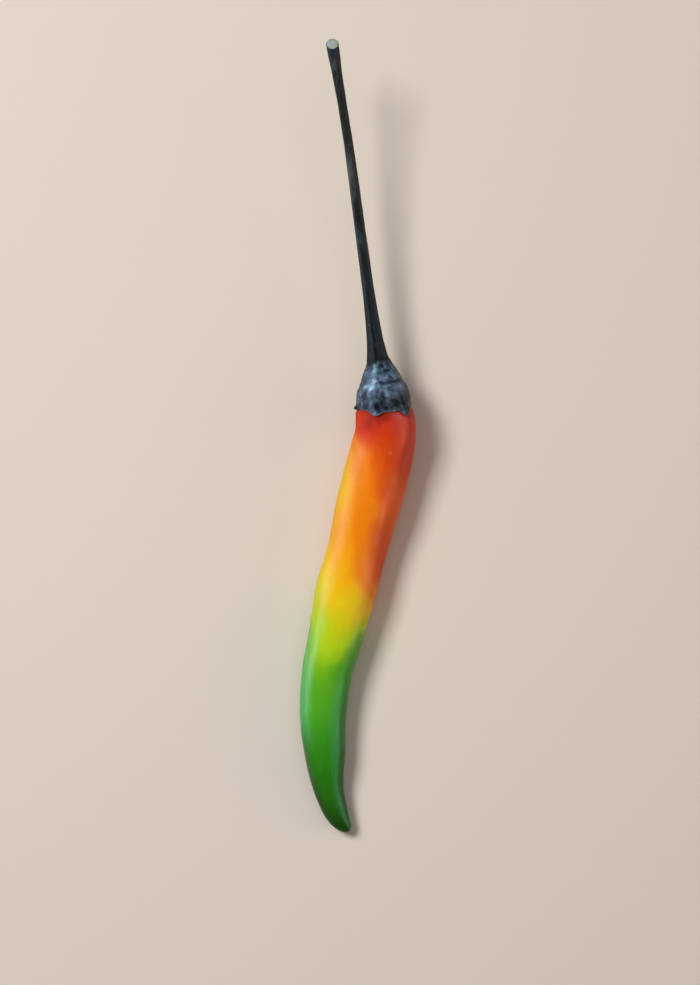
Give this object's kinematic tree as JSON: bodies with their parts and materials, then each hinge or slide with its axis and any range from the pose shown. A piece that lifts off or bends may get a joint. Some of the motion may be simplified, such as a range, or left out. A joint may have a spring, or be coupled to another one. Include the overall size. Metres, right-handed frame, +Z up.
{
  "type": "chili pepper",
  "caption": "Ripening bird's-eye chili pepper, a slender curved pod with a toothed calyx and a long stalk, lying on its side.",
  "frame": {"origin": "centre of the bounding box at its bottom, on the surface the pepper lies on", "axes": "+Z up, +Y from the pod's tip towards the cut end of the stalk, +X to the right when seen from above with the stalk away"},
  "size_m": [0.0174, 0.117, 0.0176],
  "materials": {
    "pod": "smooth waxy skin, red at the calyx and green at the tip",
    "calyx": "leathery, with a cool satin sheen",
    "stalk": "matte, near-black green, with a pale cut end"
  },
  "bodies": {
    "root": {"pod": "pod", "calyx": "calyx", "stalk": "stalk"}
  },
  "joints": []
}
